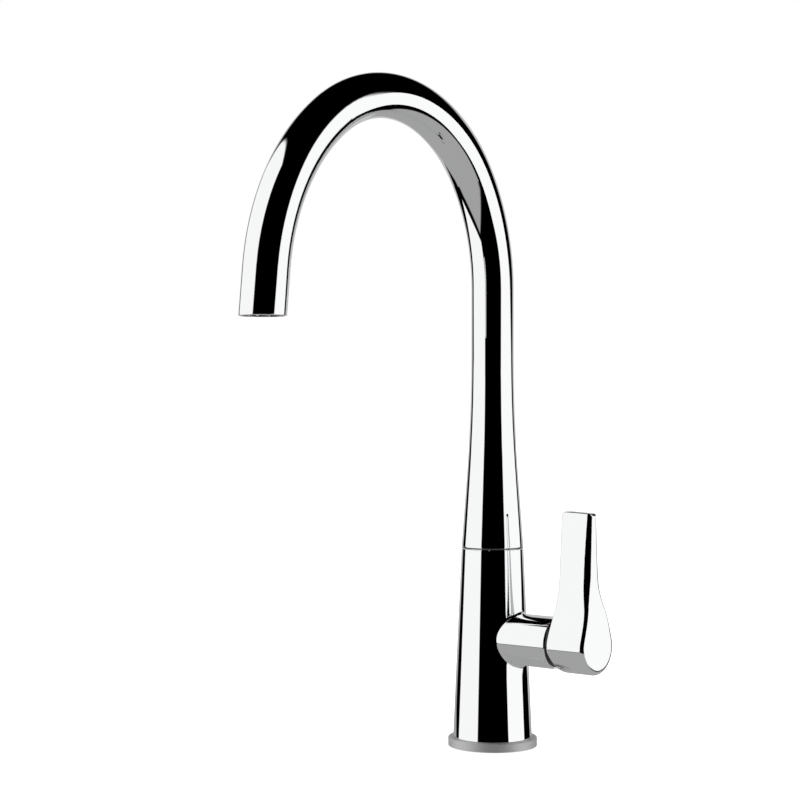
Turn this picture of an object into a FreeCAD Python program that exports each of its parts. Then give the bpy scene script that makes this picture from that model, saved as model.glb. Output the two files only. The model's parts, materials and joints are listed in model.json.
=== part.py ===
import FreeCAD, Part
import math
import os

from FreeCAD import Placement, Rotation, Vector

# Single-lever kitchen tap for hot, cold and filtered water, in millimetres.
# Origin: centre of the underside, on the worktop. +Z is up, the spout reaches
# towards -Y, and the valve branch with its lever points towards +X.

# Base ring and tapered body
ring_radius = 26.4
ring_height = 5.0
ring_chamfer = 0.4
body_foot_radius = 23.4        # cone radius where it meets the ring
body_top_radius = 18.35        # cone radius at the swivel seam
seam_height = 117.5
seam_gap = 0.7
body_wall = 3.0
skirt_wall = 2.3               # wall round the base manifold
edge_chamfer = 0.4

# Valve branch on the side of the body
lever_height = 64.3            # height of the branch axis
stub_radius = 15.1
stub_end = 48.0                # distance of its end face from the body axis
stub_wall = 2.3
stub_fillet = 1.8

# Gooseneck spout
tube_radius = 12.5
tube_wall = 1.5
spout_foot_radius = 18.4       # spout radius at the swivel seam
neck_corner_height = 197.7     # where the straight flare and the tube would meet
neck_blend = 32.0              # length of the curved blend each side of that corner
bend_start_height = 271.0
bend_radii = (115.0, 87.0, 119.0)
bend_turns = (34.5, 90.0, 49.5)
outlet_straight = 25.0         # straight end after the last bend, trimmed level
outlet_edge_radius = 0.5

# Lever
lever_length = 76.7            # from the branch axis to the top of the blade
lever_gap = 2.0                # between the branch end and the hub
hub_length = 25.7
hub_step = 0.7                 # hub radius over the branch radius
hub_sag = 0.4                  # hub centre below the branch axis
relief_start = 3.2             # the hub's inner face is cut back from this far below the axis
relief_angle = 21.0
flank_angle = 17.1             # slope of the flanks that leave the hub
blade_taper = 3.9              # slope of the blade's faces
blade_tip_half = 3.6           # half thickness at the top of the blade
flank_blend_radius = 85.0
inner_inset = 2.3              # blade is this much narrower than the hub, body side
inner_shoulder = (-1.0, 31.0)  # its inner edge draws in between these heights above the axis
outer_inset = 2.2              # the same on the outer side
outer_shoulder = (9.0, 37.0)
tip_inset = 2.7                # outer edge at the top
tip_fall = 0.7                 # the top slopes down this much towards the outer edge
tip_corner_radius = 2.8
hub_rim_radius = 3.0           # rounding of the end face's rim round the hub
flank_rim = (22.0, 3.5)        # height above the axis and rounding on the flanks
blade_rim = (39.0, 5.15)       # the same at the foot of the blade
tip_rim_land = 0.25            # flat left beside the rounding at the top
inner_rim_radius = 1.2         # rounding of the rim on the body side
tip_edge_radius = 1.0
tilt_range = 20.0              # lever lift, degrees
swivel_range = 70.0            # spout, degrees each way

# Clearances
press_fit = 0.05               # radial gap of fixed round parts
running_fit = 0.08             # radial gap of turning round parts
easy_fit = 0.1                 # gap of parts that drop in by hand
liner_gap = 0.15               # between the spout's wall and its liner
slide_gap = 0.3                # gap between loose or sliding faces

# Slack of cutting tools and of the boxes that pick edges
overshoot = 1.0                # tools reach this far past what they cut
pick_slack = 0.1

# Waterways: (x, y) of the inlets in plan, hot, cold and filtered
inlet_places = ((-2.0, -8.0), (-2.0, 8.0), (-10.0, 0.0))
inlet_thread_radius = 4.46     # bore of an M10x1 thread
inlet_thread_depth = 11.0
stud_hole_radius = 3.4         # bore of an M8 thread
stud_hole_depth = 14.0
stud_x = 11.0
stud_spacing = 18.0
manifold_height = 18.0
manifold_web = 1.0
gasket_inner = 22.3
gasket_outer = 24.8
gasket_thickness = 1.6
supply_radius = 4.0            # copper tubes for hot and cold
filter_radius = 3.2            # 6.4 mm tube for filtered water
supply_wall = 1.0
riser_radius = 3.0
riser_wall = 0.8
riser_place = (3.0, -6.8)
waterway_radius = 2.4
socket_depth = 6.0
seal_section = 0.7             # radius of the rubber of the small seals
block_clearance = 0.15
block_margin = 11.5            # brass below the cartridge pocket
block_to_post = 7.0            # gap between the block and the swivel post

# Cartridge, laid along the branch axis
cartridge_clearance = 0.3
cartridge_wall = 1.9
cartridge_stack = 26.0         # from the fixed disc's back to the branch end
base_thickness = 8.0
base_step = 2.0
disc_thickness = 3.5
carrier_thickness = 5.0
carrier_flat = 0.4             # taken off each side of the carrier
mixing_pocket_wall = 2.4       # rim round the pocket in the moving disc
mixing_pocket_depth = 1.8
guide_flange = 3.5
guide_flange_gap = 0.2
guide_radius = 8.6
guide_reach = 4.0              # guide beyond the pivot
rail_start = 0.5               # rails end this far in front of the carrier's back
front_wall = 3.0
neck_wall = 0.8
nut_thickness = 5.0
nut_key_depth = 2.0
nut_key_half = 1.5
port_seal_height = 1.2
port_seal_inset = 0.2
port_radius = 2.2
# Ports on the cartridge seat, (y, z) from the branch axis
hot_port = (-6.6, -3.2)
cold_port = (6.6, -3.2)
filter_port = (0.0, -7.2)
mixed_port = (-5.6, 5.4)
filter_out_port = (0.0, 6.8)
peg_place = (7.4, 5.0)
peg_radius = 1.2
peg_length = 2.5

# Lever stem and its pivot
pivot_inset = 2.0              # pivot behind the branch end
ball_radius = 2.55
ball_reach = 13.0              # from the pivot to the ball
ball_pocket_gap = 0.15
neck_radius = 2.1
stem_half_width = 3.1
stem_half_height = 3.0
stem_inner = 6.0               # square part behind the pivot
stem_reach = 24.0              # and in front of it
slot_half_height = 7.3
slot_gap = 0.15
pin_radius = 1.5
pin_gap = 0.04                 # round the pin in the stem
pin_fit = 0.01                 # and in its guide
pin_end_gap = 0.1
grub_radius = 2.0
grub_inset = 4.5               # grub screw behind the stem's end
grub_recess = 1.0
grub_key_depth = 2.5

# Trim dome in the gap behind the lever
dome_step = 0.9                # dome radius below the branch radius
dome_wall = 1.2
dome_opening = 9.4
dome_spigot = 1.8
dome_to_hub = 0.4
marker_radius = 0.75
marker_depth = 0.7
marker_proud = 0.05            # the index stands out of the dome this much
marker_angle = 50.0            # above the horizontal, on the front and back
marker_lean = 12.5             # marker centre in front of the pivot plane, degrees

# Swivel joint
post_thread_radius = 12.0
post_seat = 14.5               # depth of the post in the body
post_floor = 3.0
post_chamber_wall = 1.4
post_chamber_height = 3.0      # straight part of the mixing chamber
post_chamber_cone = 5.0        # where it narrows to the post's bore
flange_thickness = 2.0
washer_thickness = 0.8
post_wall = 2.6
bearing_wall = 2.4
bearing_height = 5.0
socket_height = 37.5
o_ring_section = 0.8
o_ring_side_gap = 0.2
o_ring_heights = (13.0, 20.0)  # above the seam
lock_groove_height = 27.5      # above the seam
lock_groove_depth = 1.1
lock_groove_side_gap = 0.15
lock_screw_radius = 2.0
lock_screw_sunk = 0.8          # below the spout's surface
lock_key_depth = 2.0
stop_pin_radius = 1.1
stop_groove_gap = 0.2
stop_groove_depth = 3.0
stop_pin_depth = 6.0
stop_wall = 0.7
bearing_land = 1.2
slip_ring_inset = 0.35         # slip ring behind the body's surface
coupling_rise = 3.0            # coupling above the post
coupling_length = 17.0
coupling_wall = 2.4
coupling_stop = 1.5

# Outlet
outlet_recess = 2.8            # aerator sits this deep in the spout
aerator_length = 11.0
aerator_wall = 1.3
aerator_lip = 0.9
aerator_lip_width = 0.8
lattice_thickness = 5.0
washer_height = 1.5
washer_width = 2.35
nozzle_radius = 4.0
nozzle_length = 14.0
nozzle_socket = 4.0            # depth of the inner tube in the nozzle
lattice_hole_radius = 0.75
lattice_pitch = 2.4            # between hole centres round a ring

Z_AXIS = Vector(0, 0, 1)
X_AXIS = Vector(1, 0, 0)

# Worked-out places
pivot_x = stub_end - pivot_inset
stack_x = stub_end - cartridge_stack
seat_x = stack_x - base_thickness
stub_bore = stub_radius - stub_wall
cartridge_radius = stub_bore - cartridge_clearance
cartridge_bore = cartridge_radius - cartridge_wall
moving_x = stack_x + disc_thickness
carrier_x = moving_x + disc_thickness
guide_x = carrier_x + carrier_thickness + slide_gap
front_x = guide_x + guide_flange + slide_gap
nut_x = front_x + front_wall
neck_bore = guide_radius + easy_fit
neck_outer = neck_bore + neck_wall
ball_x = pivot_x - ball_reach
disc_travel = ball_reach * math.radians(tilt_range)
disc_rest = -disc_travel / 2
moving_disc_radius = cartridge_bore - disc_travel / 2 - slide_gap
dome_radius = stub_radius - dome_step
pocket_radius = dome_radius + dome_to_hub
hub_start = stub_end + lever_gap
hub_end = hub_start + hub_length
hub_height = lever_height - hub_sag
hub_radius = stub_radius + hub_step
lever_top = lever_height + lever_length
body_top = seam_height - seam_gap / 2
spout_foot = seam_height + seam_gap / 2
manifold_radius = body_foot_radius - skirt_wall - press_fit
block_bottom = lever_height - cartridge_radius - block_margin
post_bottom = body_top - post_seat
block_top = post_bottom - block_to_post
flange_top = body_top + flange_thickness
socket_foot = flange_top + washer_thickness + easy_fit
socket_top = seam_height + socket_height + socket_foot - spout_foot
tube_bore = tube_radius - tube_wall


def body_radius(z):
    """Outer radius of the tapered body at a height."""
    part = (z - ring_height) / (seam_height - ring_height)
    return body_foot_radius + (body_top_radius - body_foot_radius) * part


def flare_slope():
    """Radius lost per millimetre of height on the spout's straight flare."""
    return (spout_foot_radius - tube_radius) / (neck_corner_height - seam_height)


def flare_radius(z):
    """Outer radius of the spout on its straight flare."""
    return spout_foot_radius - flare_slope() * (z - seam_height)


stop_groove_half = stop_pin_radius + stop_groove_gap
socket_outer_foot = flare_radius(socket_foot) - tube_wall - liner_gap
stop_circle = socket_outer_foot - stop_wall - stop_groove_half
bearing_radius = stop_circle - stop_groove_half - bearing_land
post_radius = bearing_radius - bearing_wall - running_fit
post_bore = post_radius - post_wall
flange_radius = stop_circle - stop_pin_radius - slide_gap


# Basic solids

def rod(radius, low, high, x=0.0, y=0.0):
    """Upright cylinder between two heights."""
    return Part.makeCylinder(radius, high - low, Vector(x, y, low), Z_AXIS)


def rod_x(radius, start, end, y=0.0, z=0.0):
    """Cylinder along the valve branch; y and z are measured from its axis."""
    place = Vector(start, y, lever_height + z)
    return Part.makeCylinder(radius, end - start, place, X_AXIS)


def pipe(outer, inner, low, high, x=0.0, y=0.0):
    return rod(outer, low, high, x, y).cut(rod(inner, low, high, x, y))


def pipe_x(outer, inner, start, end, y=0.0, z=0.0):
    return rod_x(outer, start, end, y, z).cut(rod_x(inner, start, end, y, z))


def brick(x, y, z):
    """Block between pairs of limits; z is measured from the branch axis."""
    corner = Vector(x[0], y[0], lever_height + z[0])
    return Part.makeBox(x[1] - x[0], y[1] - y[0], z[1] - z[0], corner)


def turned(outline):
    """Solid of revolution about Z from (radius, height) points."""
    points = [Vector(r, 0, z) for r, z in outline]
    face = Part.Face(Part.makePolygon(points + points[:1]))
    return face.revolve(Vector(0, 0, 0), Z_AXIS, 360)


def joined(first, *others):
    return first.fuse(list(others)).removeSplitter()


def without(shape, *tools):
    for tool in tools:
        shape = shape.cut(tool)
    return shape


def corner_arc(before, corner, after):
    """Arc that rounds a corner, tangent to both sides at equal distances."""
    to_before = before - corner
    to_after = after - corner
    half = to_before.getAngle(to_after) / 2
    bisector = (to_before.normalize() + to_after.normalize()).normalize()
    reach = (after - corner).Length
    radius = reach * math.tan(half)
    middle = corner + bisector * (reach / math.cos(half) - radius)
    return Part.Arc(before, middle, after).toShape()


# Body, base and inlets

def body_shell():
    """Tapered body with the valve branch, in one piece."""
    cone = turned([
        (0, ring_height),
        (body_foot_radius - edge_chamfer, ring_height),
        (body_radius(ring_height + edge_chamfer), ring_height + edge_chamfer),
        (body_radius(body_top - edge_chamfer), body_top - edge_chamfer),
        (body_radius(body_top) - edge_chamfer, body_top),
        (0, body_top),
    ])
    branch = rod_x(stub_radius, 0, stub_end)
    solid = cone.fuse(branch).removeSplitter()
    crease = [e for e in solid.Edges if on_crease(e)]
    solid = solid.makeFillet(stub_fillet, crease)
    rim = [e for e in solid.Edges if on_branch_rim(e)]
    solid = solid.makeChamfer(edge_chamfer, rim)
    cavity = turned([
        (0, manifold_height),
        (body_radius(manifold_height) - body_wall, manifold_height),
        (body_radius(post_bottom) - body_wall, post_bottom),
        (0, post_bottom),
    ])
    return without(
        solid,
        rod(manifold_radius + press_fit, ring_height, manifold_height),
        cavity,
        rod(post_thread_radius + press_fit, post_bottom, body_top),
        rod_x(stub_bore, 0, stub_end),
        rod(stop_pin_radius, body_top - stop_pin_depth, body_top, 0, stop_circle),
    )


def on_crease(edge):
    """The curve where the branch leaves the cone."""
    box = edge.BoundBox
    inside = box.XMax < stub_end - pick_slack and box.XMin > pick_slack
    return inside and box.YLength > stub_radius / 2


def on_branch_rim(edge):
    box = edge.BoundBox
    return box.XMin > stub_end - pick_slack and box.ZLength > stub_radius


def base_ring():
    ring = turned([
        (manifold_radius + press_fit, 0),
        (ring_radius, 0),
        (ring_radius, ring_height - ring_chamfer),
        (ring_radius - ring_chamfer, ring_height),
        (manifold_radius + press_fit, ring_height),
    ])
    groove = pipe(gasket_outer + press_fit, gasket_inner - press_fit, 0, gasket_thickness)
    return ring.cut(groove)


def deck_gasket():
    return pipe(gasket_outer, gasket_inner, 0, gasket_thickness)


def tube_radius_of(index):
    """Outer radius of the inlet tube: the third one is for filtered water."""
    return filter_radius if index == 2 else supply_radius


def seal_recess(tube, low, high, x, y):
    return rod(tube + press_fit + 2 * seal_section, low, high, x, y)


def base_manifold():
    """Brass foot with the three threaded inlets and two stud holes."""
    foot = rod(manifold_radius, 0, manifold_height)
    tools = []
    for index, (x, y) in enumerate(inlet_places):
        tube = tube_radius_of(index)
        seat = inlet_thread_depth + manifold_web
        recess = manifold_height - 2 * seal_section
        tools += [
            rod(inlet_thread_radius, 0, inlet_thread_depth, x, y),
            rod(tube - supply_wall, 0, manifold_height, x, y),
            rod(tube + press_fit, seat, manifold_height, x, y),
            seal_recess(tube, recess, manifold_height, x, y),
        ]
    for y in (-stud_spacing / 2, stud_spacing / 2):
        tools.append(rod(stud_hole_radius, 0, stud_hole_depth, stud_x, y))
    return without(foot, *tools)


def supply_tube(index):
    x, y = inlet_places[index]
    outer = tube_radius_of(index)
    low = inlet_thread_depth + manifold_web
    return pipe(outer, outer - supply_wall, low, block_bottom + socket_depth, x, y)


def supply_seals():
    """Rubber rings where the tubes enter the foot and the valve block."""
    rings = []
    for index, (x, y) in enumerate(inlet_places):
        major = tube_radius_of(index) + press_fit + seal_section
        for z in (manifold_height - seal_section, block_bottom + seal_section):
            rings.append(Part.makeTorus(major, seal_section, Vector(x, y, z), Z_AXIS))
    return Part.makeCompound(rings)


def valve_block():
    """Brass block that carries water to the cartridge seat and up again."""
    shrink = body_wall + block_clearance
    block = turned([
        (0, block_bottom),
        (body_radius(block_bottom) - shrink, block_bottom),
        (body_radius(block_top) - shrink, block_top),
        (0, block_top),
    ])
    far = body_foot_radius + stub_end
    pocket = rod_x(cartridge_radius + cartridge_clearance, seat_x, far)
    nose = rod_x(cartridge_radius, 0, seat_x)
    block = joined(block.cut(pocket), nose)
    tools = []
    for index, port in enumerate((hot_port, cold_port, filter_port)):
        x, y = inlet_places[index]
        tube = tube_radius_of(index)
        port_height = lever_height + port[1]
        tools += [
            rod(tube + press_fit, block_bottom, block_bottom + socket_depth, x, y),
            rod(waterway_radius, block_bottom, port_height, x, y),
            rod_x(waterway_radius, x, seat_x, port[0], port[1]),
            seal_recess(tube, block_bottom, block_bottom + 2 * seal_section, x, y),
        ]
    outlets = ((mixed_port, riser_place, riser_radius), (filter_out_port, (0, 0), filter_radius))
    for port, (x, y), tube in outlets:
        tools += [
            rod(tube + press_fit, block_top - socket_depth, block_top, x, y),
            rod(waterway_radius, lever_height + port[1], block_top, x, y),
            rod_x(waterway_radius, x, seat_x, port[0], port[1]),
        ]
    tools.append(rod_x(peg_radius + press_fit, seat_x - peg_length, seat_x, *peg_place))
    return without(block, *tools)


# Cartridge

def all_ports():
    return (hot_port, cold_port, filter_port, mixed_port, filter_out_port)


def cartridge_base():
    solid = joined(
        rod_x(cartridge_radius, seat_x, stack_x - base_step),
        rod_x(cartridge_bore - press_fit, stack_x - base_step, stack_x),
        rod_x(peg_radius, seat_x - peg_length, seat_x, *peg_place),
    )
    tools = []
    for port in all_ports():
        tools.append(rod_x(port_radius, seat_x, stack_x, *port))
        tools.append(rod_x(port_radius + seal_section, seat_x, seat_x + port_seal_height, *port))
    return without(solid, *tools)


def cartridge_seals():
    """Lip seals between the cartridge base and the valve block."""
    outer = port_radius + seal_section - press_fit
    inner = port_radius - port_seal_inset
    end = seat_x + port_seal_height
    return Part.makeCompound([pipe_x(outer, inner, seat_x, end, *port) for port in all_ports()])


def fixed_ceramic_disc():
    disc = rod_x(cartridge_bore - press_fit, stack_x, moving_x - press_fit)
    return without(disc, *[rod_x(port_radius, stack_x, moving_x, *port) for port in all_ports()])


def cartridge_housing():
    start = stack_x - base_step
    return without(
        joined(rod_x(cartridge_radius, start, nut_x), rod_x(neck_outer, nut_x, nut_x + nut_thickness)),
        rod_x(cartridge_bore, start, front_x),
        rod_x(neck_bore, front_x, nut_x + nut_thickness),
    )


def cartridge_nut():
    """Ring nut with two key slots that clamps the cartridge."""
    nut = pipe_x(stub_bore - press_fit, neck_outer + press_fit, nut_x, nut_x + nut_thickness)
    end = nut_x + nut_thickness
    slot = brick((end - nut_key_depth, end), (-stub_bore, stub_bore), (-nut_key_half, nut_key_half))
    return nut.cut(slot)


def moving_ceramic_disc():
    disc = rod_x(moving_disc_radius, moving_x, carrier_x, 0, disc_rest)
    pocket_end = moving_x + mixing_pocket_depth
    return disc.cut(rod_x(moving_disc_radius - mixing_pocket_wall, moving_x, pocket_end, 0, disc_rest))


def disc_carrier():
    """Plastic carrier that the stem's ball pushes up and down."""
    end = carrier_x + carrier_thickness
    disc = rod_x(moving_disc_radius, carrier_x, end, 0, disc_rest)
    half = moving_disc_radius - carrier_flat
    tall = 2 * cartridge_radius
    disc = disc.common(brick((carrier_x, end), (-half, half), (-tall, tall)))
    pocket_depth = ball_radius + ball_pocket_gap
    return disc.cut(rod_x(pocket_depth, ball_x - pocket_depth, end))


def stem_guide():
    """Turning guide: it carries the pivot pin and two rails for the carrier."""
    tip = pivot_x + guide_reach
    body = joined(
        rod_x(cartridge_bore - guide_flange_gap, guide_x, guide_x + guide_flange),
        rod_x(guide_radius, guide_x, tip),
    )
    rails = rod_x(cartridge_bore - slide_gap, carrier_x + rail_start, guide_x)
    half = moving_disc_radius - carrier_flat + easy_fit
    wide = cartridge_radius
    rails = rails.cut(brick((carrier_x, guide_x), (-half, half), (-wide, wide)))
    slot_half = stem_half_width + slot_gap
    slot = brick((guide_x, tip), (-slot_half, slot_half), (-slot_half_height, slot_half_height))
    pin_hole = pin_y(pin_radius, guide_radius)
    return without(joined(body, rails), slot, pin_hole)


def pin_y(radius, half_length):
    """Cylinder along Y through the lever pivot."""
    start = Vector(pivot_x, -half_length, lever_height)
    return Part.makeCylinder(radius, 2 * half_length, start, Vector(0, 1, 0))


def pivot_pin():
    return pin_y(pin_radius - pin_fit, guide_radius - pin_end_gap)


def trim_dome():
    """Dark dome that closes the branch behind the lever."""
    centre = Vector(pivot_x, 0, lever_height)
    ball = Part.makeSphere(dome_radius, centre)
    front = rod_x(dome_radius + overshoot, stub_end, pivot_x + dome_radius + overshoot)
    cap = joined(ball.common(front), rod_x(stub_bore - press_fit, stub_end - dome_spigot, stub_end))
    hollow = Part.makeSphere(dome_radius - dome_wall, centre)
    return without(
        cap,
        hollow.common(rod_x(stub_bore - press_fit - dome_wall, pivot_x, hub_end)),
        rod_x(dome_opening, pivot_x, hub_end),
        marker_solid(-1),
        marker_solid(1),
    )


def marker_solid(side):
    """Small round index let into the dome; side is -1 at the front, 1 at the back."""
    lift = math.radians(marker_angle)
    lean = math.radians(90 - marker_lean)
    aside = math.sin(lean)
    outward = Vector(math.cos(lean), side * aside * math.cos(lift), aside * math.sin(lift))
    centre = Vector(pivot_x, 0, lever_height)
    start = centre + outward * (dome_radius - marker_depth)
    return Part.makeCylinder(marker_radius, marker_depth + 2 * marker_proud, start, outward)


def index_marker(side):
    centre = Vector(pivot_x, 0, lever_height)
    return marker_solid(side).common(Part.makeSphere(dome_radius + marker_proud, centre))


# Lever

def lever_outline():
    """Teardrop seen from the end: the hub's circle drawn up into a thin blade."""
    flank = math.radians(flank_angle)
    taper = math.radians(blade_taper)
    slope_flank = math.tan(flank)
    slope_taper = math.tan(taper)
    start_flank = hub_radius / math.cos(flank)
    start_taper = blade_tip_half + (lever_top - hub_height) * slope_taper
    tall = lever_top - hub_height + overshoot
    corner_z = (start_flank - start_taper) / (slope_flank - slope_taper)
    corner_y = start_flank - slope_flank * corner_z
    reach = flank_blend_radius * math.tan((flank - taper) / 2)
    low = (corner_y + reach * math.sin(flank), corner_z - reach * math.cos(flank))
    high = (corner_y - reach * math.sin(taper), corner_z + reach * math.cos(taper))
    leave = (hub_radius * math.cos(flank), hub_radius * math.sin(flank))
    tip = (start_taper - tall * slope_taper, tall)

    def at(point, side):
        return Vector(0, side * point[0], hub_height + point[1])

    edges = []
    for side in (1, -1):
        corner = at((corner_y, corner_z), side)
        edges += [
            Part.makeLine(at(leave, side), at(low, side)),
            corner_arc(at(low, side), corner, at(high, side)),
            Part.makeLine(at(high, side), at(tip, side)),
        ]
    edges.append(Part.makeLine(at(tip, 1), at(tip, -1)))
    lowest = at((0, -hub_radius), 1)
    edges.append(Part.Arc(at(leave, 1), lowest, at(leave, -1)).toShape())
    return Part.Wire(Part.__sortEdges__(edges))


def lever_side():
    """Lever seen from the front: the blade's edges draw in above the hub."""
    z0 = lever_height
    low = hub_height - hub_radius - overshoot
    high = lever_top + overshoot
    relief_high = Vector(hub_start, 0, z0 - relief_start)
    relief_x = hub_start + (relief_high.z - low) * math.tan(math.radians(relief_angle))
    inner_low = Vector(hub_start, 0, z0 + inner_shoulder[0])
    inner_high = Vector(hub_start + inner_inset, 0, z0 + inner_shoulder[1])
    outer_low = Vector(hub_end, 0, z0 + outer_shoulder[0])
    outer_high = Vector(hub_end - outer_inset, 0, z0 + outer_shoulder[1])
    top_inner = Vector(inner_high.x, 0, high)
    top_outer = Vector(hub_end - tip_inset, 0, high)
    edges = [
        Part.makeLine(Vector(relief_x, 0, low), relief_high),
        Part.makeLine(relief_high, inner_low),
        soft_step(inner_low, inner_high),
        Part.makeLine(inner_high, top_inner),
        Part.makeLine(top_inner, top_outer),
        Part.makeLine(top_outer, outer_high),
        soft_step(outer_high, outer_low),
        Part.makeLine(outer_low, Vector(hub_end, 0, low)),
        Part.makeLine(Vector(hub_end, 0, low), Vector(relief_x, 0, low)),
    ]
    return Part.Wire(edges)


def above_tip():
    """Outline of the space above the blade, with its two rounded corners."""
    inner = Vector(hub_start + inner_inset, 0, lever_top)
    outer = Vector(hub_end - tip_inset, 0, lever_top - tip_fall)
    along = (outer - inner).normalize() * tip_corner_radius
    drop = Vector(0, 0, -tip_corner_radius)
    aside = Vector(tip_corner_radius, 0, 0)
    high = Vector(0, 0, 2 * tip_corner_radius)
    inner_far = inner + drop - aside
    outer_far = outer + drop + aside
    edges = [
        Part.makeLine(inner_far, inner + drop),
        corner_arc(inner + drop, inner, inner + along),
        Part.makeLine(inner + along, outer - along),
        corner_arc(outer - along, outer, outer + drop),
        Part.makeLine(outer + drop, outer_far),
        Part.makeLine(outer_far, outer_far + high),
        Part.makeLine(outer_far + high, inner_far + high),
        Part.makeLine(inner_far + high, inner_far),
    ]
    return Part.Wire(edges)


def soft_step(start, end):
    """S-shaped edge that leaves both ends upright."""
    curve = Part.BezierCurve()
    half = Vector(0, 0, (end.z - start.z) / 2)
    curve.setPoles([start, start + half, end - half, end])
    return curve.toShape()


def stem_socket(gap):
    half_y = stem_half_width + gap
    half_z = stem_half_height + gap
    end = pivot_x + stem_reach + gap
    return brick((pivot_x, end), (-half_y, half_y), (-half_z, half_z))


def grub_place():
    return Vector(pivot_x + stem_reach - grub_inset, 0, lever_height - stem_half_height)


def lever_handle():
    """Cast lever: a hub that clears the dome, and an upright blade."""
    prism = Part.Face(lever_outline()).extrude(Vector(hub_end + overshoot, 0, 0))
    solid = rounded_end(prism.common(across(lever_side())).Solids[0])
    solid = solid.makeFillet(inner_rim_radius, [e for e in solid.Edges if on_inner_rim(e)])
    solid = solid.cut(across(above_tip())).Solids[0]
    solid = solid.makeFillet(tip_edge_radius, [e for e in solid.Edges if on_near_tip(e)])
    solid = near_half_doubled(solid)
    pocket = Part.makeSphere(pocket_radius, Vector(pivot_x, 0, lever_height))
    grub = grub_place()
    hole_low = hub_height - hub_radius - overshoot
    screw_hole = rod(grub_radius + press_fit, hole_low, grub.z, grub.x, 0)
    return without(solid, pocket, stem_socket(press_fit), screw_hole)


def across(wire):
    """Solid from an outline seen from the front, wider than the lever."""
    wide = hub_radius + overshoot
    face = Part.Face(wire)
    face.translate(Vector(0, -wide, 0))
    return face.extrude(Vector(0, 2 * wide, 0))


def rim_radius(z):
    """Rounding of the end face's rim: it swells on the flanks and thins towards the tip."""
    height = z - lever_height
    tip = (lever_length + overshoot, blade_tip_half - tip_rim_land)
    stations = [(outer_shoulder[0], hub_rim_radius), flank_rim, blade_rim, tip]
    radius = hub_rim_radius
    for low, high in zip(stations, stations[1:]):
        if height > low[0]:
            share = min(1.0, (height - low[0]) / (high[0] - low[0]))
            radius = low[1] + (high[1] - low[1]) * share
    return radius


def rounded_end(solid):
    """Rounds the end face's rim, down one side and up the other, with a changing radius."""
    rim = [(number, e.BoundBox) for number, e in enumerate(solid.Edges, 1) if on_outer_rim(e)]
    down = sorted([row for row in rim if row[1].Center.y > pick_slack], key=lambda row: -row[1].ZMax)
    hub = [row for row in rim if abs(row[1].Center.y) <= pick_slack]
    up = sorted([row for row in rim if row[1].Center.y < -pick_slack], key=lambda row: row[1].ZMax)
    rows = [(number, rim_radius(box.ZMax), rim_radius(box.ZMin)) for number, box in down]
    rows += [(number, hub_rim_radius, hub_rim_radius) for number, box in hub]
    rows += [(number, rim_radius(box.ZMin), rim_radius(box.ZMax)) for number, box in up]
    page = FreeCAD.newDocument("lever")
    sharp = page.addObject("Part::Feature", "sharp")
    sharp.Shape = solid
    soft = page.addObject("Part::Fillet", "soft")
    soft.Base = sharp
    soft.Edges = rows
    page.recompute()
    rounded = soft.Shape.copy().Solids[0]
    FreeCAD.closeDocument(page.Name)
    return rounded


def on_outer_rim(edge):
    """Edges round the lever's end face."""
    box = edge.BoundBox
    beyond = box.XMin > hub_end - tip_inset - pick_slack
    return beyond and not runs_across(edge)


def on_inner_rim(edge):
    """Edges round the lever's face on the body side."""
    middle = hub_start + hub_length / 2
    return edge.BoundBox.XMax < middle and not runs_across(edge)


def on_near_tip(edge):
    """Edges along the blade's top on the -y side."""
    box = edge.BoundBox
    return box.ZMin > lever_top - 2 * tip_corner_radius and box.YMax < 0 and not runs_across(edge)


def near_half_doubled(solid):
    """The lever's -y half joined to its mirror image."""
    wide = hub_radius + overshoot
    space = brick((0, hub_end + overshoot), (-wide, 0), (-wide - hub_sag, lever_length + overshoot))
    half = solid.common(space)
    return half.fuse(half.mirror(Vector(0, 0, 0), Vector(0, 1, 0))).removeSplitter().Solids[0]


def runs_across(edge):
    """Straight lines across the lever between its two sides."""
    box = edge.BoundBox
    return box.ZLength < pick_slack and box.XLength < pick_slack


def lever_stem():
    """Steel stem: square in the lever, pivoted on the pin, ball in the carrier."""
    square = brick(
        (pivot_x - stem_inner, pivot_x + stem_reach),
        (-stem_half_width, stem_half_width),
        (-stem_half_height, stem_half_height),
    )
    neck = rod_x(neck_radius, ball_x, pivot_x - stem_inner)
    ball = Part.makeSphere(ball_radius, Vector(ball_x, 0, lever_height))
    return joined(square, neck, ball).cut(pin_y(pin_radius + pin_gap, guide_radius))


def lever_grub_screw():
    grub = grub_place()
    low = hub_height - hub_radius + grub_recess
    screw = rod(grub_radius, low, grub.z, grub.x, 0)
    return screw.cut(hex_socket(grub_radius / 2, grub_key_depth, Vector(grub.x, 0, low), Z_AXIS))


def hex_socket(radius, depth, place, direction):
    points = [
        Vector(radius * math.cos(k * math.pi / 3), radius * math.sin(k * math.pi / 3), 0)
        for k in range(7)
    ]
    prism = Part.Face(Part.makePolygon(points)).extrude(Vector(0, 0, depth))
    prism.Placement = Placement(place, Rotation(Z_AXIS, direction))
    return prism


# Swivel joint between body and spout

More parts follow.
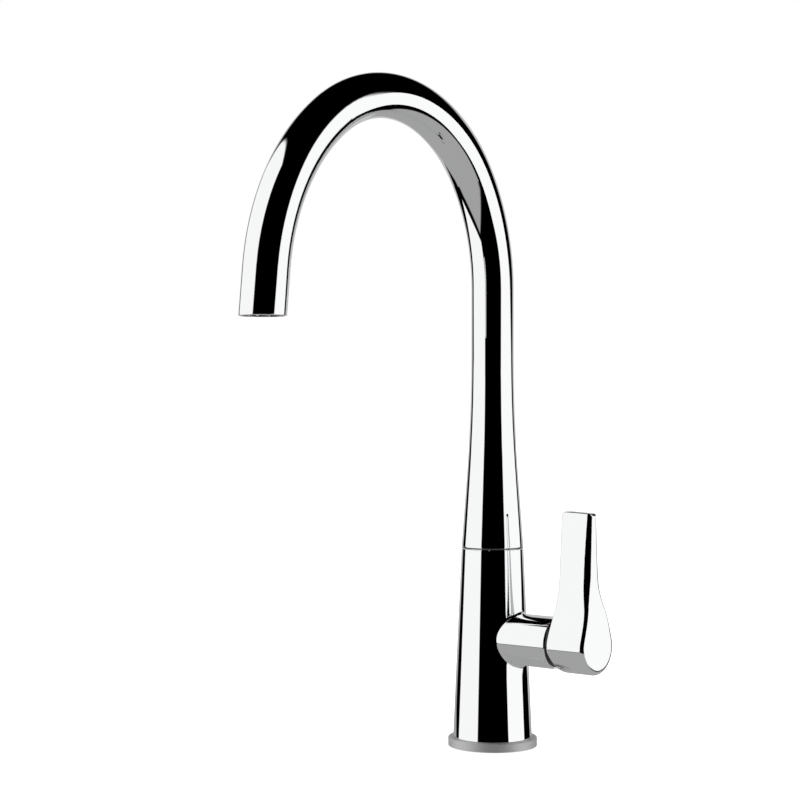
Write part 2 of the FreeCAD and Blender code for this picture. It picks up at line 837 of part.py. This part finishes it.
def swivel_post():
    """Brass post screwed into the top of the body; the spout turns on it."""
    post = turned([
        (0, post_bottom),
        (post_thread_radius, post_bottom),
        (post_thread_radius, body_top),
        (flange_radius, body_top),
        (flange_radius, flange_top),
        (post_radius, flange_top),
        (post_radius, socket_top),
        (0, socket_top),
    ])
    floor = post_bottom + post_floor
    chamber = post_thread_radius - post_chamber_wall
    shoulder = floor + post_chamber_height
    throat = shoulder + post_chamber_cone
    tools = [
        turned([(0, floor), (chamber, floor), (chamber, shoulder), (post_bore, throat), (0, throat)]),
        rod(post_bore, floor, socket_top),
        rod(riser_radius + press_fit, post_bottom, floor, *riser_place),
        rod(filter_radius + press_fit, post_bottom, floor),
        ring_groove(lock_groove_height, lock_screw_radius + lock_groove_side_gap, lock_groove_depth),
    ]
    for height in o_ring_heights:
        tools.append(ring_groove(height, o_ring_section + o_ring_side_gap, 2 * o_ring_section))
    return without(post, *tools)


def ring_groove(height, half_width, depth):
    z = seam_height + height
    return pipe(post_radius + overshoot, post_radius - depth, z - half_width, z + half_width)


def post_o_rings():
    major = post_radius - o_ring_section
    return Part.makeCompound([
        Part.makeTorus(major, o_ring_section, Vector(0, 0, seam_height + height), Z_AXIS)
        for height in o_ring_heights
    ])


def mixed_riser_tube():
    low = block_top - socket_depth
    return pipe(riser_radius, riser_radius - riser_wall, low, post_bottom + post_floor, *riser_place)


def coupling_foot():
    return socket_top + coupling_rise


def coupling_middle():
    return coupling_foot() + coupling_length / 2


def filtered_riser_tube():
    low = block_top - socket_depth
    high = coupling_middle() - coupling_stop / 2
    return pipe(filter_radius, filter_radius - supply_wall, low, high)


def filtered_tube_coupling():
    """Push-fit coupling in which the upper tube can turn with the spout."""
    low = coupling_foot()
    high = low + coupling_length
    stop = coupling_stop / 2
    outer = filter_radius + running_fit + coupling_wall
    return without(
        rod(outer, low, high),
        rod(filter_radius - supply_wall, low, high),
        rod(filter_radius + press_fit, low, coupling_middle() - stop),
        rod(filter_radius + running_fit, coupling_middle() + stop, high),
    )


def thrust_washer():
    high = flange_top + washer_thickness
    return pipe(flange_radius - easy_fit, post_radius + easy_fit, flange_top, high)


def seam_slip_ring():
    """Thin ring that the spout's foot glides over; its edge shows in the seam."""
    outer = body_top_radius - slip_ring_inset
    inner = stop_circle + stop_pin_radius + slide_gap
    return pipe(outer, inner, body_top, spout_foot - running_fit)


def bearing_ring(low):
    return pipe(bearing_radius - press_fit, post_radius + running_fit, low, low + bearing_height)


def stop_pin():
    low = body_top - stop_pin_depth
    return rod(stop_pin_radius, low, socket_foot + stop_groove_depth - slide_gap, 0, stop_circle)


def spout_socket():
    """Brass liner in the foot of the spout: bearings, stop groove, lock screw."""
    shrink = tube_wall + liner_gap
    liner = turned([
        (0, socket_foot),
        (flare_radius(socket_foot) - shrink, socket_foot),
        (flare_radius(socket_top) - shrink, socket_top),
        (0, socket_top),
    ])
    return without(
        liner,
        rod(post_radius + easy_fit, socket_foot, socket_top),
        rod(bearing_radius, socket_foot, socket_foot + bearing_height),
        rod(bearing_radius, socket_top - bearing_height, socket_top),
        stop_groove(),
        lock_screw_hole(),
    )


def stop_groove():
    """Curved slot over the stop pin, as long as the spout's swing."""
    pin_share = math.degrees(stop_groove_half / stop_circle)
    sweep = swivel_range + pin_share
    outer = stop_circle + stop_groove_half
    inner = stop_circle - stop_groove_half
    start = Vector(0, 0, socket_foot)
    sector = Part.makeCylinder(outer, stop_groove_depth, start, Z_AXIS, 2 * sweep)
    sector.rotate(Vector(0, 0, 0), Z_AXIS, 90 - sweep)
    return sector.cut(rod(inner, socket_foot, socket_foot + stop_groove_depth))


def lock_screw_height():
    return seam_height + lock_groove_height


def lock_screw_hole():
    start = Vector(0, 0, lock_screw_height())
    reach = 2 * spout_foot_radius
    return Part.makeCylinder(lock_screw_radius + press_fit, reach, start, Vector(0, 1, 0))


def spout_lock_screw():
    """Grub screw at the back of the spout, its tip in the post's groove."""
    tip = post_radius - lock_groove_depth + slide_gap
    end = flare_radius(lock_screw_height()) - lock_screw_sunk
    place = Vector(0, tip, lock_screw_height())
    screw = Part.makeCylinder(lock_screw_radius, end - tip, place, Vector(0, 1, 0))
    head = Vector(0, end, lock_screw_height())
    return screw.cut(hex_socket(lock_screw_radius / 2, lock_key_depth, head, Vector(0, -1, 0)))


# Spout

def spout_bends():
    """Start point, angle, centre and turn of each bend of the centreline."""
    place = Vector(0, 0, bend_start_height)
    angle = 0.0
    bends = []
    for radius, turn in zip(bend_radii, bend_turns):
        inward = Vector(0, -math.cos(math.radians(angle)), -math.sin(math.radians(angle)))
        centre = place + inward * radius
        bends.append((place, angle, centre, turn))
        angle += turn
        inward = Vector(0, -math.cos(math.radians(angle)), -math.sin(math.radians(angle)))
        place = centre - inward * radius
    return bends, place, angle


def heading(angle):
    """Direction of the centreline: up at 0 degrees, towards -Y at 90."""
    return Vector(0, -math.sin(math.radians(angle)), math.cos(math.radians(angle)))


def outlet_middle():
    """Centre of the spout's open end."""
    _, place, angle = spout_bends()
    return place + heading(angle) * outlet_straight


def below_outlet():
    """Space under the level in which the spout's end is trimmed."""
    middle = outlet_middle()
    wide = 2 * tube_radius
    corner = middle - Vector(wide, wide, wide)
    return Part.makeBox(2 * wide, 2 * wide, wide, corner)


def bent_rod(radius):
    """Round bar along the spout's bends and past its straight end."""
    bends, end, end_angle = spout_bends()
    length = outlet_straight + tube_radius
    pieces = [Part.makeCylinder(radius, length, end, heading(end_angle))]
    for place, angle, centre, turn in bends:
        disc = Part.Face(Part.Wire(Part.makeCircle(radius, place, heading(angle))))
        pieces.append(disc.revolve(centre, X_AXIS, turn))
    return pieces


def flared_rod(shrink):
    """Foot of the spout: straight flare, soft blend, then the round tube."""
    corner = Vector(tube_radius - shrink, 0, neck_corner_height)
    foot = Vector(flare_radius(spout_foot) - shrink, 0, spout_foot)
    down = (foot - corner).normalize()
    before = corner + down * neck_blend
    after = corner + Vector(0, 0, neck_blend)
    top = Vector(tube_radius - shrink, 0, bend_start_height)
    edges = [
        Part.makeLine(Vector(0, 0, spout_foot), foot),
        Part.makeLine(foot, before),
        corner_arc(before, corner, after),
        Part.makeLine(after, top),
        Part.makeLine(top, Vector(0, 0, bend_start_height)),
        Part.makeLine(Vector(0, 0, bend_start_height), Vector(0, 0, spout_foot)),
    ]
    return Part.Face(Part.Wire(edges)).revolve(Vector(0, 0, 0), Z_AXIS, 360)


def spout_tube():
    """Chromed gooseneck with its flared foot, one hollow piece."""
    outer = joined(flared_rod(0), *bent_rod(tube_radius)).cut(below_outlet())
    outer = outer.makeFillet(outlet_edge_radius, circles_at(outer, outlet_middle()))
    outer = outer.makeChamfer(edge_chamfer, circles_at(outer, Vector(0, 0, spout_foot)))
    inner = joined(flared_rod(tube_wall), *bent_rod(tube_bore))
    return without(outer, inner, lock_screw_hole())


def circles_at(shape, middle):
    """Edges that run round a point."""
    return [e for e in shape.Edges if (e.CenterOfMass - middle).Length < pick_slack]


def at_outlet(shape):
    """Moves a shape from the origin to the outlet; its +Z points back up the tube."""
    _, _, angle = spout_bends()
    moved = shape.copy()
    moved.Placement = Placement(outlet_middle(), Rotation(Z_AXIS, heading(angle) * -1))
    return moved


def filtered_spout_tube():
    """Inner tube for filtered water, from the coupling to the outlet nozzle."""
    low = coupling_middle() + coupling_stop / 2
    outer = joined(rod(filter_radius, low, bend_start_height), *bent_rod(filter_radius))
    bore = filter_radius - supply_wall
    inner = joined(rod(bore, low, bend_start_height), *bent_rod(bore))
    end = at_outlet(rod(tube_bore, -2 * tube_radius, outlet_recess + nozzle_length - nozzle_socket))
    return without(outer, inner, end)


def aerator_housing():
    outer = tube_bore - press_fit
    bore = outer - aerator_wall
    low = outlet_recess
    return at_outlet(without(
        rod(outer, low, low + aerator_length),
        rod(bore, low + aerator_lip, low + aerator_length),
        rod(bore - aerator_lip_width, low, low + aerator_lip),
    ))


def lattice_rings():
    """Radii and counts of the rings of holes between the nozzle and the wall."""
    inner = nozzle_radius + 2 * lattice_hole_radius
    outer = tube_bore - press_fit - aerator_wall - 2 * lattice_hole_radius
    rings = []
    for radius in (inner, outer):
        rings.append((radius, int(2 * math.pi * radius / lattice_pitch)))
    return rings


def aerator_lattice():
    """Plastic flow straightener with rings of small holes."""
    low = outlet_recess + aerator_lip
    outer = tube_bore - press_fit - aerator_wall - press_fit
    disc = pipe(outer, nozzle_radius + press_fit, low, low + lattice_thickness)
    holes = []
    for radius, count in lattice_rings():
        for k in range(count):
            angle = 2 * math.pi * k / count
            x, y = radius * math.cos(angle), radius * math.sin(angle)
            holes.append(rod(lattice_hole_radius, low, low + lattice_thickness, x, y))
    return at_outlet(disc.cut(Part.makeCompound(holes)))


def aerator_washer():
    low = outlet_recess + aerator_length
    outer = tube_bore - press_fit
    return at_outlet(pipe(outer, outer - washer_width, low, low + washer_height))


def filtered_nozzle():
    """Centre nozzle that keeps filtered water apart from the mixed water."""
    low = outlet_recess
    high = low + nozzle_length
    return at_outlet(without(
        rod(nozzle_radius, low, high),
        rod(filter_radius - supply_wall, low, high),
        rod(filter_radius + press_fit, high - nozzle_socket, high),
    ))


def pieces():
    """Every piece of the tap under its name."""
    return {
        "body_shell": body_shell(),
        "base_ring": base_ring(),
        "deck_gasket": deck_gasket(),
        "base_manifold": base_manifold(),
        "hot_supply_tube": supply_tube(0),
        "cold_supply_tube": supply_tube(1),
        "filtered_supply_tube": supply_tube(2),
        "supply_tube_seals": supply_seals(),
        "valve_block": valve_block(),
        "cartridge_base": cartridge_base(),
        "cartridge_seals": cartridge_seals(),
        "fixed_ceramic_disc": fixed_ceramic_disc(),
        "cartridge_housing": cartridge_housing(),
        "cartridge_nut": cartridge_nut(),
        "moving_ceramic_disc": moving_ceramic_disc(),
        "disc_carrier": disc_carrier(),
        "stem_guide": stem_guide(),
        "pivot_pin": pivot_pin(),
        "trim_dome": trim_dome(),
        "hot_marker": index_marker(-1),
        "cold_marker": index_marker(1),
        "lever_handle": lever_handle(),
        "lever_stem": lever_stem(),
        "lever_grub_screw": lever_grub_screw(),
        "swivel_post": swivel_post(),
        "post_o_rings": post_o_rings(),
        "mixed_riser_tube": mixed_riser_tube(),
        "filtered_riser_tube": filtered_riser_tube(),
        "filtered_tube_coupling": filtered_tube_coupling(),
        "thrust_washer": thrust_washer(),
        "seam_slip_ring": seam_slip_ring(),
        "stop_pin": stop_pin(),
        "spout_tube": spout_tube(),
        "spout_socket": spout_socket(),
        "lower_bearing_ring": bearing_ring(socket_foot),
        "upper_bearing_ring": bearing_ring(socket_top - bearing_height),
        "spout_lock_screw": spout_lock_screw(),
        "filtered_spout_tube": filtered_spout_tube(),
        "aerator_housing": aerator_housing(),
        "aerator_lattice": aerator_lattice(),
        "aerator_washer": aerator_washer(),
        "filtered_nozzle": filtered_nozzle(),
    }


os.makedirs("parts", exist_ok=True)
for name, shape in pieces().items():
    shape.exportStep("parts/" + name + ".step")
    print(name, len(shape.Solids), round(shape.Volume, 1), shape.isValid())

print("outlet", outlet_middle())
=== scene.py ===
import json
import math

import bpy
from mathutils import Matrix, Vector

# A chromed kitchen tap in a small studio: the CAD pieces carry procedural
# finishes, and two soft white panels, a pale backdrop and a pale table in a
# dark room draw the bands in the chrome.
# Lengths are in metres, in the frame of the CAD model.

# Camera
FOCAL_PIXELS = 1814.914        # focal length in pixels of an 800 pixel frame
FRAME_PIXELS = 800
SENSOR = 36.0
CAMERA_DISTANCE = 1.079996     # from the tap's axis, along the line of sight
CAMERA_HEIGHT = 0.204944
CAMERA_SIDE = 0.055063         # the tap's axis stands this far right of the line of sight
AZIMUTH = math.radians(40.12)

RIGHT = Vector((math.cos(AZIMUTH), math.sin(AZIMUTH), 0))
TOWARDS_CAMERA = Vector((math.sin(AZIMUTH), -math.cos(AZIMUTH), 0))
UP = Vector((0, 0, 1))

# Studio
PANEL_CENTRE_HEIGHT = 0.2
SCREEN_GAMMA = 2.2
FADE_REACH = 2.8               # half width of a fade, as a multiple of the edge softness
FLOOR_HALF = 6.0
FLOOR_DROP = 0.001             # below the tap's underside
FLOOR_COLOUR = (0.9, 0.9, 0.9, 1)
FLOOR_GLOW = 0.92              # towards the camera only
ROOM_LIGHT = 0.5               # even light on surfaces that aren't mirrors
WHITE = (1, 1, 1, 1)

# Finishes
CHROME_COLOUR = (0.95, 0.955, 0.96)
CHROME_GREEN = CHROME_COLOUR[1]
HAZE_SCALE = 160.0             # this and the other noise scales are per metre
POLISH_WAVE_SCALE = 45.0
RING_LINE_SCALE = 9000.0       # across the turned lines
RING_TURN_SCALE = 6.0          # along them, per radian
PLASTIC_GRAIN_SCALE = 2200.0
PLASTIC_GLOSS_SCALE = 900.0
PLASTIC_TINT_SCALE = 60.0
PLASTIC_GAIN = 1.08            # a plastic's lighter tone is its colour times this,
PLASTIC_LIFT = 0.004           # plus this
PLASTIC_GLOSS_SPREAD = 0.06    # either side of the plastic's roughness
TOOL_LINE_SCALE = 2600.0       # across the tool lines
TOOL_LINE_STRETCH = 0.05       # the scale along them, as a part of that
PATINA_SCALE = 120.0

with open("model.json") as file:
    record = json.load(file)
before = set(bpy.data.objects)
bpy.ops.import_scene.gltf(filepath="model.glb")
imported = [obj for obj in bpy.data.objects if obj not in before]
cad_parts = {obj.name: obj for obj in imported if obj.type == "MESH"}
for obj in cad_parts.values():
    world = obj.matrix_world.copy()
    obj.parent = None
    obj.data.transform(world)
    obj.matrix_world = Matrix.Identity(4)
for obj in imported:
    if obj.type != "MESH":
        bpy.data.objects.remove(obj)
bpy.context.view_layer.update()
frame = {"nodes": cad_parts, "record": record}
NODES = frame["nodes"]


# Node helpers

def node(tree, kind, inputs=(), **props):
    made = tree.nodes.new("ShaderNode" + kind)
    for key, value in props.items():
        setattr(made, key, value)
    pairs = inputs.items() if isinstance(inputs, dict) else enumerate(inputs)
    for key, value in pairs:
        if isinstance(value, bpy.types.NodeSocket):
            tree.links.new(value, made.inputs[key])
        else:
            made.inputs[key].default_value = value
    return made


def calc(tree, operation, *values):
    return node(tree, "Math", values, operation=operation).outputs[0]


def object_point(tree):
    return node(tree, "TexCoord").outputs["Object"]


def split(tree, vector):
    parts = node(tree, "SeparateXYZ", [vector])
    return parts.outputs[0], parts.outputs[1], parts.outputs[2]


def noise(tree, point, scale, detail, rough=0.5):
    made = node(tree, "TexNoise", {"Vector": point, "Scale": scale, "Detail": detail,
                                   "Roughness": rough})
    return made.outputs[0]


def stretched(tree, point, x, y, z):
    return node(tree, "Mapping", {"Vector": point, "Scale": (x, y, z)}).outputs[0]


def hypot(tree, a, b):
    squares = [calc(tree, "MULTIPLY", side, side) for side in (a, b)]
    return calc(tree, "SQRT", calc(tree, "ADD", *squares))


def empty_tree(data):
    data.use_nodes = True
    data.node_tree.nodes.clear()
    return data.node_tree


def put_out(tree, kind, shader):
    out = node(tree, kind)
    tree.links.new(shader.outputs[0], out.inputs["Surface"])


def finish(name, colour, metallic, roughness):
    """New material with a Principled shader; returns it, its tree and the shader."""
    material = bpy.data.materials.new(name)
    material.use_nodes = True
    tree = material.node_tree
    shader = tree.nodes["Principled BSDF"]
    shader.inputs["Base Color"].default_value = (*colour, 1)
    shader.inputs["Metallic"].default_value = metallic
    shader.inputs["Roughness"].default_value = roughness
    return material, tree, shader


def vary_roughness(tree, shader, value, low, high, least, most):
    """Roughness from least to most, as a value goes from low to high."""
    made = node(tree, "MapRange", {"Value": value, "From Min": low, "From Max": high,
                                   "To Min": least, "To Max": most})
    tree.links.new(made.outputs[0], shader.inputs["Roughness"])


def bump(tree, shader, height, distance, strength):
    made = node(tree, "Bump", {"Height": height, "Distance": distance, "Strength": strength})
    tree.links.new(made.outputs[0], shader.inputs["Normal"])


def tint(tree, shader, value, dark, light):
    """Base colour between two colours, by a value from 0 to 1."""
    ends = {"Factor": value, "A": (*dark, 1), "B": (*light, 1)}
    mix = node(tree, "Mix", ends, data_type="RGBA")
    tree.links.new(mix.outputs["Result"], shader.inputs["Base Color"])


# The finishes, one for each material slot

def chrome():
    """Polished plate: a nearly even mirror with a trace of polishing haze."""
    material, tree, shader = finish("chrome", CHROME_COLOUR, 1.0, 0.03)
    point = object_point(tree)
    vary_roughness(tree, shader, noise(tree, point, HAZE_SCALE, 3.0), 0.3, 0.7, 0.01, 0.028)
    waves = noise(tree, point, POLISH_WAVE_SCALE, 1.0)
    bump(tree, shader, waves, distance=0.00002, strength=0.15)
    return material


def satin_ring():
    """Turned satin steel: fine lines run round the ring."""
    material, tree, shader = finish("satin_ring", (0.8, 0.8, 0.81), 1.0, 0.55)
    x, y, z = split(tree, object_point(tree))
    radius = calc(tree, "MULTIPLY", hypot(tree, x, y), RING_LINE_SCALE)
    turn = calc(tree, "MULTIPLY", calc(tree, "ARCTAN2", y, x), RING_TURN_SCALE)
    height = calc(tree, "MULTIPLY", z, RING_LINE_SCALE)
    round_ring = node(tree, "CombineXYZ", [radius, turn, height]).outputs[0]
    lines = noise(tree, round_ring, 1.0, 3.0, 0.7)
    vary_roughness(tree, shader, lines, 0.25, 0.75, 0.5, 0.62)
    tint(tree, shader, lines, (0.74, 0.74, 0.75), (0.87, 0.87, 0.88))
    bump(tree, shader, lines, distance=0.00003, strength=0.5)
    return material


def plastic(name, colour, roughness, grain):
    """Moulded plastic with a faint grain and slow colour change."""
    material, tree, shader = finish(name, colour, 0.0, roughness)
    point = object_point(tree)
    vary_roughness(tree, shader, noise(tree, point, PLASTIC_GLOSS_SCALE, 4.0), 0.3, 0.7,
                   roughness - PLASTIC_GLOSS_SPREAD, roughness + PLASTIC_GLOSS_SPREAD)
    light = [min(1.0, c * PLASTIC_GAIN + PLASTIC_LIFT) for c in colour]
    tint(tree, shader, noise(tree, point, PLASTIC_TINT_SCALE, 2.0), colour, light)
    bump(tree, shader, noise(tree, point, PLASTIC_GRAIN_SCALE, 3.0), distance=grain, strength=0.4)
    return material


def machined(name, dark, light, roughness):
    """Turned or drawn metal: fine tool lines and slight tarnish."""
    material, tree, shader = finish(name, light, 1.0, roughness)
    point = object_point(tree)
    along = TOOL_LINE_SCALE * TOOL_LINE_STRETCH
    lined = stretched(tree, point, TOOL_LINE_SCALE, along, TOOL_LINE_SCALE)
    lines = noise(tree, lined, 1.0, 3.0, 0.6)
    tint(tree, shader, noise(tree, point, PATINA_SCALE, 4.0), dark, light)
    vary_roughness(tree, shader, lines, 0.2, 0.8, roughness - 0.08, roughness + 0.1)
    bump(tree, shader, lines, distance=0.00002, strength=0.4)
    return material


FINISHES = {
    "chrome": chrome(),
    "satin_ring": satin_ring(),
    "dark_trim": plastic("dark_trim", (0.012, 0.012, 0.013), 0.16, 0.000005),
    "red_index": plastic("red_index", (0.55, 0.012, 0.03), 0.25, 0.000004),
    "blue_index": plastic("blue_index", (0.015, 0.07, 0.5), 0.25, 0.000004),
    "brass": machined("brass", (0.6, 0.42, 0.18), (0.78, 0.6, 0.33), 0.28),
    "copper": machined("copper", (0.6, 0.3, 0.18), (0.8, 0.47, 0.32), 0.26),
    "steel": machined("steel", (0.5, 0.5, 0.51), (0.66, 0.66, 0.67), 0.25),
    "white_plastic": plastic("white_plastic", (0.78, 0.78, 0.76), 0.42, 0.00001),
    "grey_plastic": plastic("grey_plastic", (0.33, 0.34, 0.35), 0.42, 0.00001),
    "dark_plastic": plastic("dark_plastic", (0.075, 0.076, 0.078), 0.45, 0.00001),
    "filter_tube": plastic("filter_tube", (0.74, 0.78, 0.82), 0.34, 0.000006),
    "ceramic": plastic("ceramic", (0.86, 0.84, 0.79), 0.2, 0.000003),
    "rubber": plastic("rubber", (0.02, 0.02, 0.021), 0.62, 0.000015),
}


def dress_nodes():
    """Each CAD piece takes the finish of its material slot."""
    for part in frame["record"]["subparts"]:
        piece = NODES[part["node"]]
        material = FINISHES[part["material_slot"]]
        if not piece.material_slots:
            piece.data.materials.append(material)
        for place in piece.material_slots:
            place.material = material


dress_nodes()


# The studio's panels, floor, room and camera

def seen_from_tap(azimuth, elevation):
    """Direction from the tap; azimuth 0 is towards the camera, positive to the picture's right."""
    a, e = math.radians(azimuth), math.radians(elevation)
    level = RIGHT * math.sin(a) + TOWARDS_CAMERA * math.cos(a)
    return level * math.cos(e) + UP * math.sin(e)


def flat_sheet(name, half_width, half_height, matrix, material):
    mesh = bpy.data.meshes.new(name)
    corners = [(-half_width, -half_height, 0), (half_width, -half_height, 0),
               (half_width, half_height, 0), (-half_width, half_height, 0)]
    mesh.from_pydata(corners, [], [(0, 1, 2, 3)])
    mesh.materials.append(material)
    sheet = bpy.data.objects.new(name, mesh)
    bpy.context.scene.collection.objects.link(sheet)
    sheet.matrix_world = matrix
    return sheet


def past_edge(tree, half_width, half_height, corner):
    """Distance outside a rectangle with rounded corners, negative inside it."""
    x, y, _ = split(tree, object_point(tree))
    past_x = calc(tree, "ADD", calc(tree, "ABSOLUTE", x), corner - half_width)
    past_y = calc(tree, "ADD", calc(tree, "ABSOLUTE", y), corner - half_height)
    outer = hypot(tree, calc(tree, "MAXIMUM", past_x, 0.0), calc(tree, "MAXIMUM", past_y, 0.0))
    inner = calc(tree, "MINIMUM", calc(tree, "MAXIMUM", past_x, past_y), 0.0)
    return calc(tree, "SUBTRACT", calc(tree, "ADD", inner, outer), corner)


def glow(name, half_width, half_height, corner, edge, level):
    """Light sheet that fades out over its edges; level is its brightness on screen in the chrome."""
    material = bpy.data.materials.new(name)
    tree = empty_tree(material)
    past = past_edge(tree, half_width, half_height, corner)
    reach = FADE_REACH * edge
    limits = {"Value": past, "From Min": -reach, "From Max": reach, "To Min": 1.0, "To Max": 0.0}
    fade = node(tree, "MapRange", limits, interpolation_type="SMOOTHSTEP").outputs[0]
    cover = calc(tree, "POWER", fade, SCREEN_GAMMA)
    light = node(tree, "Emission", {"Strength": level ** SCREEN_GAMMA / CHROME_GREEN})
    clear = node(tree, "BsdfTransparent")
    put_out(tree, "OutputMaterial", node(tree, "MixShader", [cover, clear.outputs[0], light.outputs[0]]))
    return material


def light_sheet(name, half_width, half_height, matrix, corner, edge, level):
    """Light sheet that the camera doesn't see and that shades nothing."""
    margin = FADE_REACH * edge
    material = glow(name, half_width, half_height, corner, edge, level)
    sheet = flat_sheet(name, half_width + margin, half_height + margin, matrix, material)
    sheet.visible_camera = False
    sheet.visible_shadow = False
    return sheet


def soft_panel(name, place, half_size, turn, corner, edge, level):
    """Light panel beside the tap. place is its azimuth, elevation and distance, and turn is its
    roll, yaw and pitch from there; angles are in degrees."""
    azimuth, elevation, distance = place
    roll, yaw, pitch = turn
    centre = seen_from_tap(azimuth, elevation) * distance + UP * PANEL_CENTRE_HEIGHT
    facing = seen_from_tap(azimuth + yaw, elevation + pitch)
    side = UP.cross(facing).normalized()
    top = facing.cross(side)
    r = math.radians(roll)
    across = side * math.cos(r) + top * math.sin(r)
    along = top * math.cos(r) - side * math.sin(r)
    matrix = Matrix((across, along, facing)).transposed().to_4x4()
    matrix.translation = centre
    light_sheet(name, *half_size, matrix, corner, edge, level)


def reflected_only(name, axes, centre, half_size, edge, level):
    """Pale sheet that shows in the metal only, for what the tap has behind and under it."""
    matrix = Matrix(axes).transposed().to_4x4()
    matrix.translation = RIGHT * centre[0] + TOWARDS_CAMERA * centre[1] + UP * centre[2]
    sheet = light_sheet(name, *half_size, matrix, 0.0, edge, level)
    sheet.visible_diffuse = False


soft_panel("left_softbox", place=(-93.6, 9.39, 0.719), half_size=(0.648, 0.572),
           turn=(8.63, 15.9, 14.0), corner=0.006, edge=0.009, level=0.965)
soft_panel("right_softbox", place=(65.7, -13.0, 0.851), half_size=(0.408, 0.684),
           turn=(-48.9, 34.3, 51.6), corner=0.152, edge=0.007, level=0.98)
reflected_only("backdrop", axes=(RIGHT, UP, TOWARDS_CAMERA), centre=(0.215, -2.0, -0.225),
               half_size=(1.571, 1.775), edge=0.09, level=0.743)
reflected_only("table_top", axes=(RIGHT, -TOWARDS_CAMERA, UP), centre=(-0.045, -0.633, -0.113),
               half_size=(0.541, 1.253), edge=0.014, level=0.62)


def floor_material():
    """Floor that is lit white for the camera; its own light comes on top, so no shadow shows."""
    material = bpy.data.materials.new("floor")
    tree = empty_tree(material)
    plain = node(tree, "BsdfDiffuse", {"Color": FLOOR_COLOUR})
    seen = node(tree, "LightPath").outputs["Is Camera Ray"]
    white = node(tree, "Emission", {"Strength": calc(tree, "MULTIPLY", seen, FLOOR_GLOW)})
    put_out(tree, "OutputMaterial", node(tree, "AddShader", [plain.outputs[0], white.outputs[0]]))
    return material


floor_matrix = Matrix.Translation(UP * -FLOOR_DROP)
floor = flat_sheet("floor", FLOOR_HALF, FLOOR_HALF, floor_matrix, floor_material())
floor.visible_glossy = False


def room():
    """White to the camera, dark in mirrors, an even grey for matt surfaces."""
    world = bpy.data.worlds.new("room")
    bpy.context.scene.world = world
    tree = empty_tree(world)
    path = node(tree, "LightPath")
    seen = calc(tree, "MAXIMUM", path.outputs["Is Camera Ray"], path.outputs["Is Transmission Ray"])
    even = calc(tree, "MULTIPLY", path.outputs["Is Diffuse Ray"], ROOM_LIGHT)
    strength = calc(tree, "MAXIMUM", seen, even)
    put_out(tree, "OutputWorld", node(tree, "Background", {"Color": WHITE, "Strength": strength}))


room()


def camera():
    data = bpy.data.cameras.new("camera")
    data.sensor_width = SENSOR
    data.lens = FOCAL_PIXELS / FRAME_PIXELS * SENSOR
    data.clip_start = 0.01
    data.clip_end = 50.0
    place = bpy.data.objects.new("camera", data)
    bpy.context.scene.collection.objects.link(place)
    centre = TOWARDS_CAMERA * CAMERA_DISTANCE - RIGHT * CAMERA_SIDE + UP * CAMERA_HEIGHT
    matrix = Matrix((RIGHT, UP, TOWARDS_CAMERA)).transposed().to_4x4()
    matrix.translation = centre
    place.matrix_world = matrix
    bpy.context.scene.camera = place


camera()
bpy.context.scene.view_settings.view_transform = "Standard"
